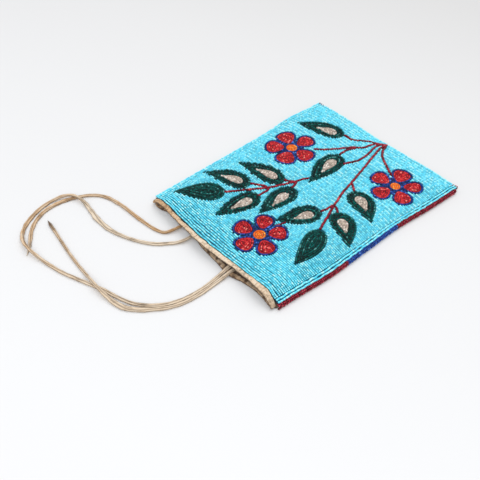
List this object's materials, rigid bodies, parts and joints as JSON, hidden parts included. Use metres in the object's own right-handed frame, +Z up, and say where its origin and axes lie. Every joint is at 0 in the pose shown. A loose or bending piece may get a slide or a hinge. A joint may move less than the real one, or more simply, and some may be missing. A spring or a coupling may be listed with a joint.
{
  "type": "beaded flat bag",
  "caption": "Flat hide bag with a beaded floral front, rolled bead edging, bound open mouth and long hide thongs, lying on its back.",
  "frame": {"origin": "centre of the bag's underside on the table, thongs left out", "axes": "+Z up out of the beaded front, +Y towards the closed end, -Y out of the mouth, +X to the right side"},
  "size_m": [0.2506, 0.3689, 0.0102],
  "materials": {
    "hide": "matt brain-tanned hide",
    "thong_hide": "matt hide thong",
    "canvas": "plain woven cloth, blue-green",
    "turquoise_beads": "opaque glossy seed beads",
    "red_beads": "glossy seed beads",
    "blue_beads": "opaque glossy seed beads",
    "orange_beads": "opaque glossy seed beads",
    "green_beads": "glossy seed beads",
    "pale_beads": "opaque greasy-finish seed beads",
    "stem_beads": "glossy seed beads",
    "edging_red": "glossy seed beads",
    "edging_blue": "opaque glossy seed beads"
  },
  "bodies": {
    "root": {"back_panel": "hide", "front_panel": "canvas", "bead_ground": "turquoise_beads", "flower_1_petal_1": "red_beads", "flower_1_petal_2": "red_beads", "flower_1_petal_3": "red_beads", "flower_1_petal_4": "red_beads", "flower_1_petal_5": "red_beads", "flower_1_centre": "orange_beads", "flower_1_outline": "blue_beads", "flower_2_petal_1": "red_beads", "flower_2_petal_2": "red_beads", "flower_2_petal_3": "red_beads", "flower_2_petal_4": "red_beads", "flower_2_petal_5": "red_beads", "flower_2_centre": "orange_beads", "flower_2_outline": "blue_beads", "flower_3_petal_1": "red_beads", "flower_3_petal_2": "red_beads", "flower_3_petal_3": "red_beads", "flower_3_petal_4": "red_beads", "flower_3_petal_5": "red_beads", "flower_3_centre": "orange_beads", "flower_3_outline": "blue_beads", "leaf_1": "green_beads", "leaf_1_centre": "pale_beads", "leaf_2": "green_beads", "leaf_2_centre": "pale_beads", "leaf_3": "green_beads", "leaf_3_centre": "pale_beads", "leaf_4": "green_beads", "leaf_4_centre": "pale_beads", "leaf_5": "green_beads", "leaf_6": "green_beads", "leaf_6_centre": "pale_beads", "leaf_7": "green_beads", "leaf_7_centre": "pale_beads", "leaf_8": "green_beads", "leaf_8_centre": "pale_beads", "leaf_9": "green_beads", "leaf_9_centre": "pale_beads", "leaf_10": "green_beads", "leaf_10_centre": "pale_beads", "leaf_11": "green_beads", "stem_spray": "stem_beads", "stem_branch": "stem_beads", "stem_short": "stem_beads", "edging_right_mouth": "edging_red", "edging_right_middle": "edging_blue", "edging_right_end": "edging_red", "edging_left_mouth": "edging_red", "edging_left_middle": "edging_blue", "edging_left_end": "edging_red", "edging_closed_end": "edging_red", "binding_front": "hide", "binding_back": "hide", "tie_thong_left": "thong_hide", "handle_thong": "thong_hide", "tie_thong_right": "thong_hide"}
  },
  "joints": []
}
